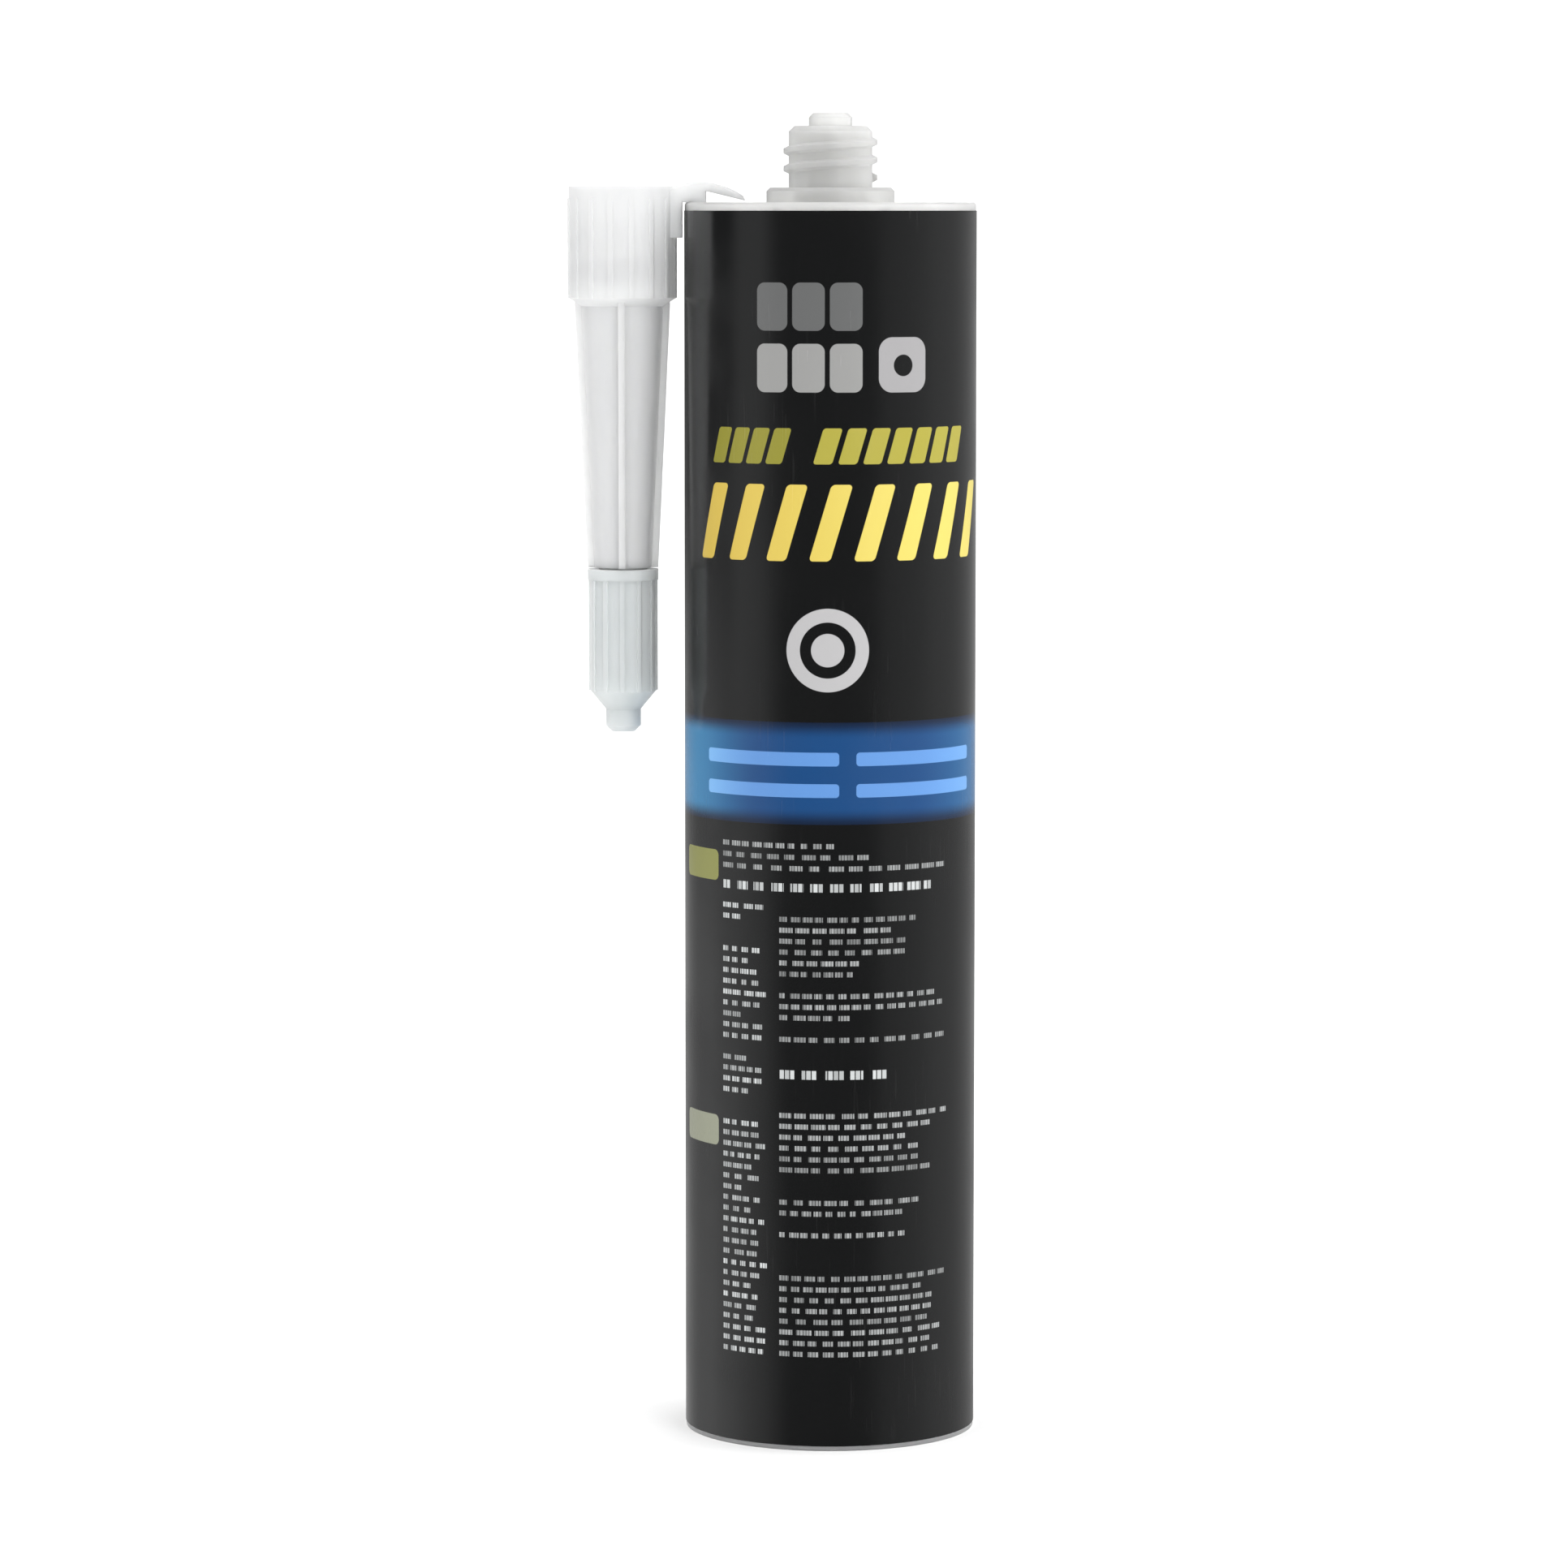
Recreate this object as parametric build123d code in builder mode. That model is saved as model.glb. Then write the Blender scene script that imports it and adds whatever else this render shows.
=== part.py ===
"""Sealant cartridge for a caulking gun, with its nozzle hooked over the rim.

A tube of polythene, open at the rear and closed at the front by a ribbed shoulder with a threaded spout,
is filled with paste and shut behind by a piston. A printed film label is wrapped round it. The spare
nozzle hangs tip down beside the tube, held by a hook that sits over the rim, with a cap on its tip.

Frame: millimetres, +Z along the tube from its open rear to its spout, origin on the tube's axis at the
rear edge. The nozzle hangs on the -X side, and -Y is the front.
"""

import math
import os

from build123d import *

# Tube of the cartridge
barrel_radius = 24.8
barrel_wall = 1.4
barrel_height = 210.5
lead_in_depth = 8.0
lead_in_step = 0.3
lead_in_taper = 1.5

# Shoulder, a shallow cone sunk behind the rim, with gussets on it
rim_depth = 3.5
rim_chamfer = 0.35
shoulder_rise = 1.2
shoulder_thickness = 1.8
gusset_count = 8
gusset_thickness = 1.2
gusset_below_rim = 0.9

# Spout, with its collar, its thread and the pip that is cut off before use
collar_ledge = 3.8
collar_above_rim = 2.5
collar_chamfer = 0.6
spout_root_radius = 7.1
spout_height = 10.4
spout_chamfer = 0.9
spout_wall = 2.9
spout_skin = 1.2
pip_radius = 3.7
pip_height = 2.2
pip_chamfer = 0.7
thread_pitch = 3.0
thread_depth = 0.9
thread_start = 0.7
thread_crest_width = 0.8
thread_foot_width = 2.0
thread_sink = 0.3
spout_thread_turns = 2.2
socket_thread_turns = 1.2

# Film label
label_thickness = 0.12
label_top_margin = 1.4
label_rear_margin = 0.8
label_overlap_width = 5.0

# Piston
piston_setback = 0.5
piston_height = 18.0
piston_wall = 1.4
piston_face_thickness = 1.8
piston_clearance = 0.05
piston_waist = 0.8
lip_length = 2.0
boss_radius = 4.0
piston_rib_count = 6
piston_rib_thickness = 1.2
piston_rib_height = 3.5
paste_clearance = 0.05
paste_to_piston = 0.2
piston_end_gap = 0.3

# Nozzle: a skirt that screws on the spout, a finned cone, and a slim tip
mouth_above_rim = 2.7
nozzle_to_label = 1.13
skirt_wall = 0.6
skirt_below_socket = 2.9
skirt_shoulder = 1.4
grip_rib_count = 16
grip_rib_width = 0.9
grip_rib_height = 0.25
grip_rib_setback = 2.0
cone_length = 44.5
cone_top_radius = 7.0
cone_foot_radius = 4.9
cone_wall = 1.3
tip_length = 19.0
tip_radius = 4.1
tip_wall = 1.2
fin_count = 4
fin_thickness = 1.1
fin_height = 1.1
socket_lead_step = 0.4
socket_lead_depth = 2.4
socket_room = 3.4
thread_clearance = 0.12

# Hook on the nozzle, which sits over the rim
hook_width = 8.0
hook_clearance = 0.3
hook_crown = 3.4
hook_leg_gap = 0.8
hook_leg_thickness = 1.6
hook_jaw = 6.0
hook_tab_reach = 8.5
hook_tab_rise = 0.9
hook_tab_thickness = 1.5
hook_drop = 0.4
hook_tab_corner = 2.0
hook_leg_fillet = 0.4
hook_crown_chamfer = 0.4

# Cap on the nozzle's tip
cap_clearance = 0.08
cap_seat_gap = 0.3
cap_wall = 1.47
cap_past_tip = 2.1
cap_bead_height = 1.8
cap_bead_width = 0.4
cap_shoulder = 3.2
knob_length = 3.8
knob_wall = 1.4
knob_chamfer = 1.0
knob_bore_radius = 1.6
knob_skin = 1.4
cap_rib_count = 12
cap_rib_width = 0.8
cap_rib_height = 0.25

# Length by which a cutting or buried shape runs past what it meets
overrun = 0.6

# Radii and heights of the tube that follow from the sizes above
bore_radius = barrel_radius - barrel_wall
lead_in_radius = bore_radius + lead_in_step
shoulder_edge = barrel_height - rim_depth
shoulder_hub = shoulder_edge + shoulder_rise
collar_top = barrel_height + collar_above_rim
collar_radius = spout_root_radius + collar_ledge
spout_crest_radius = spout_root_radius + thread_depth
spout_top = collar_top + spout_height
pip_top = spout_top + pip_height
core_radius = spout_root_radius - spout_wall
core_top = spout_top - spout_skin

# The same of the piston
piston_rear = lead_in_depth + lead_in_taper + piston_setback
piston_front = piston_rear + piston_height
lip_radius = bore_radius - piston_clearance
piston_travel = shoulder_edge - shoulder_thickness - piston_front - piston_end_gap

# The same of the nozzle
groove_radius = spout_crest_radius + thread_clearance
socket_lead_radius = groove_radius + socket_lead_step
skirt_radius = socket_lead_radius + skirt_wall
socket_depth = spout_height + pip_height + socket_room
nozzle_x = -(barrel_radius + label_thickness + nozzle_to_label + skirt_radius + grip_rib_height)
nozzle_axis = Axis((nozzle_x, 0, 0), (0, 0, 1))
nozzle_plane = Plane(origin=(nozzle_x, 0, 0), x_dir=(1, 0, 0), z_dir=(0, -1, 0))
mouth_z = barrel_height + mouth_above_rim
socket_floor_z = mouth_z - socket_depth
skirt_end = socket_floor_z - skirt_below_socket
cone_top = skirt_end - skirt_shoulder
cone_end = cone_top - cone_length
tip_end = cone_end - tip_length

# The same of the nozzle's cap
cap_mouth = cone_end - cap_seat_gap
cap_bore_radius = tip_radius + cap_clearance
cap_radius = cap_bore_radius + cap_wall
cap_shoulder_top = tip_end - cap_past_tip
knob_top = cap_shoulder_top - cap_shoulder
cap_end = knob_top - knob_length
knob_radius = knob_bore_radius + knob_wall


def upright_planes(axis_x, count, first_angle=0.0):
    """Planes that stand on an upright axis, evenly spaced round it, with their own X pointing outwards."""
    planes = []
    for n in range(count):
        angle = math.radians(first_angle + n * 360 / count)
        outward = (math.cos(angle), math.sin(angle), 0)
        across = (math.sin(angle), -math.cos(angle), 0)
        planes.append(Plane(origin=(axis_x, 0, 0), x_dir=outward, z_dir=across))
    return planes


def thread_ridge(radius, height, turns, foot, crest):
    """One trapezium swept along a right-hand helix; foot and crest are its reach from the radius."""
    with BuildPart() as ridge:
        with BuildLine() as path:
            Helix(thread_pitch, thread_pitch * turns, radius, center=(0, 0, height))
        helix = path.line
        with BuildSketch(Plane(origin=helix @ 0, x_dir=(1, 0, 0), z_dir=helix % 0)):
            with BuildLine():
                Polyline(
                    (foot, -thread_foot_width / 2),
                    (crest, -thread_crest_width / 2),
                    (crest, thread_crest_width / 2),
                    (foot, thread_foot_width / 2),
                    close=True,
                )
            make_face()
        sweep(path=helix, is_frenet=True)
    return ridge.part


# The tube, shoulder and spout are one moulding: a turned section with gussets and a thread.
with BuildPart() as barrel:
    with BuildSketch(Plane.XZ) as barrel_section:
        with BuildLine():
            Polyline(
                (lead_in_radius, 0),
                (barrel_radius, 0),
                (barrel_radius, barrel_height),
                (bore_radius, barrel_height),
                (bore_radius, shoulder_edge),
                (collar_radius, shoulder_hub),
                (collar_radius, collar_top),
                (spout_root_radius, collar_top),
                (spout_root_radius, spout_top - spout_chamfer),
                (spout_root_radius - spout_chamfer, spout_top),
                (pip_radius, spout_top),
                (pip_radius, pip_top),
                (0, pip_top),
                (0, core_top),
                (core_radius, core_top),
                (core_radius, shoulder_hub - shoulder_thickness),
                (bore_radius, shoulder_edge - shoulder_thickness),
                (bore_radius, lead_in_depth + lead_in_taper),
                (lead_in_radius, lead_in_depth),
                close=True,
            )
        make_face()
        rim_corners = barrel_section.vertices().filter_by_position(Axis.Y, barrel_height, barrel_height)
        chamfer(rim_corners, rim_chamfer)
        collar_corners = barrel_section.vertices().filter_by_position(Axis.Y, collar_top, collar_top)
        chamfer(collar_corners.sort_by(Axis.X)[-1], collar_chamfer)
        pip_corners = barrel_section.vertices().filter_by_position(Axis.Y, pip_top, pip_top)
        chamfer(pip_corners.sort_by(Axis.X)[-1], pip_chamfer)
    revolve(axis=Axis.Z)

    # Gussets from the collar out to the rim, sunk into the shoulder by half its thickness
    with BuildSketch(*upright_planes(0, gusset_count, 180 / gusset_count)):
        with BuildLine():
            Polyline(
                (collar_radius - overrun, shoulder_hub - shoulder_thickness / 2),
                (bore_radius + barrel_wall / 2, shoulder_edge - shoulder_thickness / 2),
                (bore_radius + barrel_wall / 2, barrel_height - gusset_below_rim),
                (collar_radius - overrun, barrel_height - gusset_below_rim),
                close=True,
            )
        make_face()
    extrude(amount=gusset_thickness / 2, both=True)

    spout_thread_z = collar_top + thread_start + thread_foot_width / 2
    add(thread_ridge(spout_root_radius, spout_thread_z, spout_thread_turns, -thread_sink, thread_depth))
barrel.part.label = "barrel"

# The label is one turn of film, with its end lapped over its start at the back.
with BuildPart() as label:
    with BuildSketch(Plane.XY.offset(label_rear_margin)):
        Circle(barrel_radius + label_thickness)
        with BuildSketch(mode=Mode.PRIVATE) as lap:
            Circle(barrel_radius + 2 * label_thickness)
            with Locations((0, barrel_radius)):
                Rectangle(label_overlap_width, 2 * barrel_wall, mode=Mode.INTERSECT)
        add(lap.sketch)
        Circle(barrel_radius, mode=Mode.SUBTRACT)
    extrude(amount=barrel_height - label_rear_margin - label_top_margin)
label.part.label = "label"

# The paste fills the tube from the piston's face into the hollow spout.
with BuildPart() as sealant:
    with BuildSketch(Plane.XZ):
        with BuildLine():
            Polyline(
                (0, piston_front + paste_to_piston),
                (bore_radius - paste_clearance, piston_front + paste_to_piston),
                (bore_radius - paste_clearance, shoulder_edge - shoulder_thickness - paste_clearance),
                (core_radius - paste_clearance, shoulder_edge - shoulder_thickness - paste_clearance),
                (core_radius - paste_clearance, core_top - paste_clearance),
                (0, core_top - paste_clearance),
                close=True,
            )
        make_face()
    revolve(axis=Axis.Z)
sealant.part.label = "sealant"

# The piston is a cup with a flat face, two sealing lips, and ribs behind the face.
with BuildPart() as piston:
    face_back = piston_front - piston_face_thickness
    waist_radius = lip_radius - piston_waist
    cup_radius = waist_radius - piston_wall
    with BuildSketch(Plane.XZ):
        with BuildLine():
            Polyline(
                (0, piston_front),
                (lip_radius, piston_front),
                (lip_radius, piston_front - lip_length),
                (waist_radius, piston_front - lip_length),
                (waist_radius, piston_rear + lip_length),
                (lip_radius, piston_rear + lip_length),
                (lip_radius, piston_rear),
                (cup_radius, piston_rear),
                (cup_radius, face_back),
                (0, face_back),
                close=True,
            )
        make_face()
    revolve(axis=Axis.Z)

    # Stiffening ribs behind the face, from a boss on the axis to the wall
    with BuildSketch(Plane.XY.offset(face_back - piston_rib_height)):
        Circle(boss_radius)
        with PolarLocations(cup_radius / 2, piston_rib_count):
            Rectangle(cup_radius + piston_wall, piston_rib_thickness)
    extrude(amount=piston_rib_height + piston_face_thickness / 2)
piston.part.label = "piston"

# The nozzle's hook has a jaw outside the rim, a crown over it, a leg inside it and a lifting tab.
with BuildPart() as hook:
    rim_outer = -(barrel_radius + label_thickness)
    rim_inner = -math.sqrt(bore_radius**2 - (hook_width / 2) ** 2)
    jaw_face = rim_outer - hook_clearance
    jaw_root = nozzle_x + socket_lead_radius - overrun
    jaw_bottom = barrel_height - hook_jaw
    leg_back = rim_inner + hook_clearance
    leg_front = leg_back + hook_leg_thickness
    leg_bottom = shoulder_edge + hook_leg_gap
    tab_tip = rim_inner + hook_tab_reach
    tab_top = barrel_height + hook_tab_rise
    crown_top = barrel_height + hook_crown
    crown_middle = (jaw_face + leg_front) / 2
    with BuildSketch(Plane.XZ):
        with BuildLine():
            ThreePointArc(
                (jaw_root, mouth_z - hook_drop),
                (crown_middle, crown_top),
                (tab_tip, tab_top),
            )
            Polyline(
                (tab_tip, tab_top),
                (tab_tip, barrel_height + hook_clearance),
                (leg_front, crown_top - hook_tab_thickness),
                (leg_front, leg_bottom),
                (leg_back, leg_bottom),
                (leg_back, barrel_height),
                (jaw_face, barrel_height),
                (jaw_face, jaw_bottom),
                (jaw_root, jaw_bottom),
                (jaw_root, mouth_z - hook_drop),
            )
        make_face()
    extrude(amount=hook_width / 2, both=True)
    tab_edges = hook.edges().filter_by(Axis.Z).filter_by_position(Axis.X, tab_tip, tab_tip)
    fillet(tab_edges, hook_tab_corner)
    leg_edges = hook.edges().filter_by(Axis.Y).filter_by_position(Axis.Z, leg_bottom, leg_bottom)
    fillet(leg_edges, hook_leg_fillet)
    crown_edges = hook.edges().filter_by(GeomType.CIRCLE).group_by(SortBy.RADIUS)[-1]
    chamfer(crown_edges, hook_crown_chamfer)

# The nozzle is one moulding. Its outside is made first, with the hook, and then it is bored out.
with BuildPart() as nozzle:
    with BuildSketch(nozzle_plane):
        with BuildLine():
            Polyline(
                (0, mouth_z),
                (skirt_radius, mouth_z),
                (skirt_radius, skirt_end),
                (cone_top_radius, cone_top),
                (cone_foot_radius, cone_end),
                (tip_radius, cone_end),
                (tip_radius, tip_end),
                (0, tip_end),
                close=True,
            )
        make_face()
    revolve(axis=nozzle_axis)

    # Grip ribs round the skirt
    with BuildSketch(Plane.XY.offset(skirt_end)):
        with Locations((nozzle_x, 0)):
            with PolarLocations(skirt_radius, grip_rib_count, start_angle=180 / grip_rib_count):
                Rectangle(2 * grip_rib_height, grip_rib_width)
    extrude(amount=mouth_z - skirt_end - grip_rib_setback)

    # Fins along the cone, which die out at the cap's seat
    with BuildSketch(*upright_planes(nozzle_x, fin_count)):
        with BuildLine():
            Polyline(
                (cone_foot_radius - cone_wall / 2, cone_end),
                (cone_foot_radius + fin_height, cone_end),
                (cone_top_radius + fin_height, cone_top),
                (cone_top_radius + fin_height, skirt_end),
                (cone_top_radius - cone_wall / 2, skirt_end),
                close=True,
            )
        make_face()
    extrude(amount=fin_thickness / 2, both=True)

    add(hook.part)

    # Socket and passage
    with BuildSketch(nozzle_plane):
        with BuildLine():
            Polyline(
                (0, mouth_z + overrun),
                (socket_lead_radius, mouth_z + overrun),
                (socket_lead_radius, mouth_z - socket_lead_depth),
                (groove_radius, mouth_z - socket_lead_depth),
                (groove_radius, socket_floor_z),
                (cone_top_radius - cone_wall, socket_floor_z),
                (cone_top_radius - cone_wall, cone_top),
                (cone_foot_radius - cone_wall, cone_end),
                (tip_radius - tip_wall, cone_end),
                (tip_radius - tip_wall, tip_end - overrun),
                (0, tip_end - overrun),
                close=True,
            )
        make_face()
    revolve(axis=nozzle_axis, mode=Mode.SUBTRACT)

    socket_thread_z = socket_floor_z + thread_foot_width
    with Locations((nozzle_x, 0, 0)):
        add(thread_ridge(groove_radius, socket_thread_z, socket_thread_turns, thread_sink, -thread_depth))
nozzle.part.label = "nozzle"

# The cap is a closed thimble with a bead at its mouth, grip ribs and a small knob at its end.
with BuildPart() as nozzle_cap:
    with BuildSketch(nozzle_plane) as cap_section:
        with BuildLine():
            Polyline(
                (cap_bore_radius, cap_mouth),
                (cap_radius + cap_bead_width, cap_mouth),
                (cap_radius + cap_bead_width, cap_mouth - cap_bead_height),
                (cap_radius, cap_mouth - cap_bead_height),
                (cap_radius, cap_shoulder_top),
                (knob_radius, knob_top),
                (knob_radius, cap_end),
                (0, cap_end),
                (0, cap_end + knob_skin),
                (knob_bore_radius, cap_end + knob_skin),
                (knob_bore_radius, tip_end - cap_clearance),
                (cap_bore_radius, tip_end - cap_clearance),
                close=True,
            )
        make_face()
        knob_corners = cap_section.vertices().filter_by_position(Axis.Y, cap_end, cap_end)
        chamfer(knob_corners.sort_by(Axis.X)[-1], knob_chamfer)
    revolve(axis=nozzle_axis)

    with BuildSketch(Plane.XY.offset(cap_shoulder_top)):
        with Locations((nozzle_x, 0)):
            with PolarLocations(cap_radius, cap_rib_count):
                Rectangle(2 * cap_rib_height, cap_rib_width)
    extrude(amount=cap_mouth - cap_bead_height - cap_shoulder_top)
nozzle_cap.part.label = "nozzle_cap"

print(f"piston travel {piston_travel:.2f}, nozzle axis at x {nozzle_x:.2f}, cap end at z {cap_end:.2f}")

os.makedirs("parts", exist_ok=True)
for piece in (barrel, label, sealant, piston, nozzle, nozzle_cap):
    export_step(piece.part, f"parts/{piece.part.label}.step")
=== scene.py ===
"""Sealant cartridge with its capped nozzle hooked over the rim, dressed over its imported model.

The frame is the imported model's: +Z up the tube from its open rear edge, -Y the front, and the nozzle on
the -X side. Lengths are in metres, apart from the label's print, which is laid out in millimetres.
"""

import math

import bmesh
import bpy
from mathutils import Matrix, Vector


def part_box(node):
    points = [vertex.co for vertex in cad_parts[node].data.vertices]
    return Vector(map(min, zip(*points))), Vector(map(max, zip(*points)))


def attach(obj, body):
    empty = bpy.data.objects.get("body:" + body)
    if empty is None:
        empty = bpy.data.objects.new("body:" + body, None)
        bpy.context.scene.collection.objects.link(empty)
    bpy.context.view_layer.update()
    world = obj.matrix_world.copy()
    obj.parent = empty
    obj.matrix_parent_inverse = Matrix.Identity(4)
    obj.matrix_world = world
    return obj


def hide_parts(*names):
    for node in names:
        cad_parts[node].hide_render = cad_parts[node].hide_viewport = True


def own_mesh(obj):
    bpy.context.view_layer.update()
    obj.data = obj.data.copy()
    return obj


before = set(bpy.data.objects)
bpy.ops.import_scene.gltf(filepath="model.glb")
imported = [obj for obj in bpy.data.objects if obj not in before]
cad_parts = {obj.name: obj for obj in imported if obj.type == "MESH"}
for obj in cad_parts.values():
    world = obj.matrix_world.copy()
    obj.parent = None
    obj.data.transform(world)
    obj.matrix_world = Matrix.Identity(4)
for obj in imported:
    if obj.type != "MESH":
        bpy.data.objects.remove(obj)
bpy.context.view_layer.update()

# Barrel: tube, gusseted shoulder, collar, threaded spout and closed pip.
# It is one injection moulding in milky polythene, which lets the dark paste show where the wall is
# thin. The mould leaves a fine satin grain, with faint streaks where the plastic flowed up the tube.

MM = 0.001


def feed(tree, node, inputs):
    """Fills a node's inputs, given by name or number, each from a socket to link or with a value."""
    for name, value in inputs.items():
        if isinstance(value, bpy.types.NodeSocket):
            tree.links.new(value, node.inputs[name])
        else:
            node.inputs[name].default_value = value
    return node


def place(tree, kind, inputs, **settings):
    """One node in a shader tree, with its settings and its inputs."""
    node = tree.nodes.new(kind)
    for name, value in settings.items():
        setattr(node, name, value)
    return feed(tree, node, inputs)


def calc(tree, operation, *values, clamp=False):
    """The result of one Math node."""
    node = place(tree, "ShaderNodeMath", dict(enumerate(values)), operation=operation, use_clamp=clamp)
    return node.outputs[0]


def level_between(tree, share, low, high):
    """The level that lies at a share of the way from one level to another."""
    return calc(tree, "MULTIPLY_ADD", share, high - low, low)


def ramp(tree, value, start, end, low=0.0, high=1.0):
    """A smooth step from a low to a high level, as a value goes from its start to its end."""
    inputs = {"Value": value, "From Min": start, "From Max": end, "To Min": low, "To Max": high}
    return place(tree, "ShaderNodeMapRange", inputs, interpolation_type="SMOOTHSTEP").outputs["Result"]


def blend_colour(tree, share, under, over):
    """Two colours mixed by a share of the second."""
    return place(tree, "ShaderNodeMix", {0: share, 6: under, 7: over}, data_type="RGBA").outputs[2]


def surface_position(tree):
    """Where the surface lies in the piece's own frame."""
    return place(tree, "ShaderNodeTexCoord", {}).outputs["Object"]


def drawn_out(tree, position, scales):
    """A position scaled on each axis: what is laid on it is drawn out where the scale is small."""
    return place(tree, "ShaderNodeVectorMath", {0: position, 1: scales}, operation="MULTIPLY").outputs[0]


def mottling(tree, position, scale, detail, distortion=0.0):
    """Soft random mottling between 0 and 1."""
    inputs = {"Vector": position, "Scale": scale, "Detail": detail, "Distortion": distortion}
    return place(tree, "ShaderNodeTexNoise", inputs).outputs["Fac"]


def relief_normal(tree, height, strength=1.0):
    """The normal of a surface with fine relief, from its height in metres."""
    inputs = {"Height": height, "Distance": 1.0, "Strength": strength}
    return place(tree, "ShaderNodeBump", inputs).outputs["Normal"]


def shader_group(name, inputs, outputs):
    """An empty shader group with named sockets, then its inputs and outputs as they are met inside it."""
    group = bpy.data.node_groups.new(name, "ShaderNodeTree")
    for socket_name, value in inputs.items():
        kind = "NodeSocketColor" if isinstance(value, tuple) else "NodeSocketFloat"
        group.interface.new_socket(socket_name, in_out="INPUT", socket_type=kind).default_value = value
    for socket_name, kind in outputs.items():
        group.interface.new_socket(socket_name, in_out="OUTPUT", socket_type=kind)
    return group, group.nodes.new("NodeGroupInput").outputs, group.nodes.new("NodeGroupOutput").inputs


def use(tree, group, inputs):
    """A shader group placed in a tree, as its outputs."""
    node = tree.nodes.new("ShaderNodeGroup")
    node.node_tree = group
    return feed(tree, node, inputs).outputs


def new_material(name):
    """A new material, with its node tree and its Principled shader."""
    material = bpy.data.materials.new(name)
    material.use_nodes = True
    return material, material.node_tree, material.node_tree.nodes["Principled BSDF"]


# The finish that the mould leaves: clouds and streaks of flow in two shades, over a fine grain
moulded_surface, given, result = shader_group(
    "Moulded Surface",
    {"Colour": (0.8, 0.8, 0.8, 1), "Streak Colour": (0.7, 0.7, 0.7, 1), "Roughness": 0.35, "Grain": 4e-6},
    {"Colour": "NodeSocketColor", "Roughness": "NodeSocketFloat", "Height": "NodeSocketFloat"},
)
tree = moulded_surface
cloud_share, streak_share = 0.6, 0.4
roughness_swing = 0.08
streak_relief = 1.5
position = surface_position(tree)
along_flow = drawn_out(tree, position, scales=(1, 1, 0.12))
clouds = mottling(tree, position, scale=70, detail=3)
streaks = mottling(tree, along_flow, scale=300, detail=1)
grain = mottling(tree, position, scale=3800, detail=2)
flow = calc(tree, "ADD", calc(tree, "MULTIPLY", clouds, cloud_share),
            calc(tree, "MULTIPLY", streaks, streak_share))
in_streak = ramp(tree, flow, start=0.38, end=0.66)
tree.links.new(blend_colour(tree, in_streak, given["Colour"], given["Streak Colour"]), result["Colour"])
uneven = level_between(tree, streaks, -roughness_swing, roughness_swing)
tree.links.new(calc(tree, "ADD", given["Roughness"], uneven, clamp=True), result["Roughness"])
relief = calc(tree, "MULTIPLY_ADD", streaks, streak_relief, grain)
tree.links.new(calc(tree, "MULTIPLY", relief, given["Grain"]), result["Height"])


def moulded_plastic(name, colour, streak_colour, roughness, grain, see_through, glow_depth, edge_light):
    """A polythene: satin, partly see-through, the rest of its light scattered to a depth under the skin.

    Its edge light is the milky sheen that gathers where the surface turns away.
    """
    material, tree, shader = new_material(name)
    surface = use(tree, moulded_surface, {
        "Colour": (*colour, 1),
        "Streak Colour": (*streak_colour, 1),
        "Roughness": roughness,
        "Grain": grain,
    })
    feed(tree, shader, {
        "Base Color": surface["Colour"],
        "Roughness": surface["Roughness"],
        "Normal": relief_normal(tree, surface["Height"]),
        "IOR": 1.51,
        "Transmission Weight": see_through,
        "Subsurface Weight": 1.0,
        "Subsurface Radius": (1.0, 1.0, 0.95),
        "Subsurface Scale": glow_depth,
        "Sheen Weight": edge_light,
        "Sheen Roughness": 0.4,
    })
    return material


def dress(node, material):
    """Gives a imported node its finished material."""
    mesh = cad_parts[node].data
    for number in range(len(mesh.materials)):
        mesh.materials[number] = material


dress("barrel", moulded_plastic(
    "milky polythene",
    colour=(0.86, 0.86, 0.845),
    streak_colour=(0.82, 0.82, 0.81),
    roughness=0.32,
    grain=2.5e-6,
    see_through=0.6,
    glow_depth=3.0 * MM,
    edge_light=0.4,
))

# Label: one turn of thin glossy film round the tube, lapped over its own start at the back.
# It is printed black, with pale tiles, yellow bars, a ring and a blue band, over rows of small grey
# print. The film is drawn tight but still ripples a little, so reflections on it aren't quite straight.

barrel_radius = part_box("barrel")[1].x
label_low, label_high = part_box("label")
film_radius = -label_low.x
film_thickness = film_radius - barrel_radius
film_gap = 0.01 * MM
lap_half_width = 2.5 * MM
lap_ramp = 1.8 * MM
turn_steps = 240
climb_steps = 24


def film_section():
    """The film seen end on: its inner and outer points, once round the tube and up over its own start."""
    full_turn = 2 * math.pi
    lap_angle = lap_half_width / barrel_radius
    ramp_angle = lap_ramp / barrel_radius
    climb_start = full_turn - lap_angle - ramp_angle
    climb_angle = 2 * lap_angle + ramp_angle
    stations = [-lap_angle + full_turn * n / turn_steps for n in range(turn_steps)]
    stations = [angle for angle in stations if angle < climb_start - full_turn / turn_steps]
    stations += [climb_start + climb_angle * n / climb_steps for n in range(climb_steps + 1)]
    inside, outside = [], []
    for angle in stations:
        climbed = min(max((angle - climb_start) / ramp_angle, 0.0), 1.0)
        climbed = climbed * climbed * (3 - 2 * climbed)
        inner = barrel_radius + film_gap + climbed * film_thickness
        outer = inner + film_thickness - 2 * film_gap
        direction = Vector((-math.sin(angle), math.cos(angle), 0))
        inside.append(direction * inner)
        outside.append(direction * outer)
    return inside, outside


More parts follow.
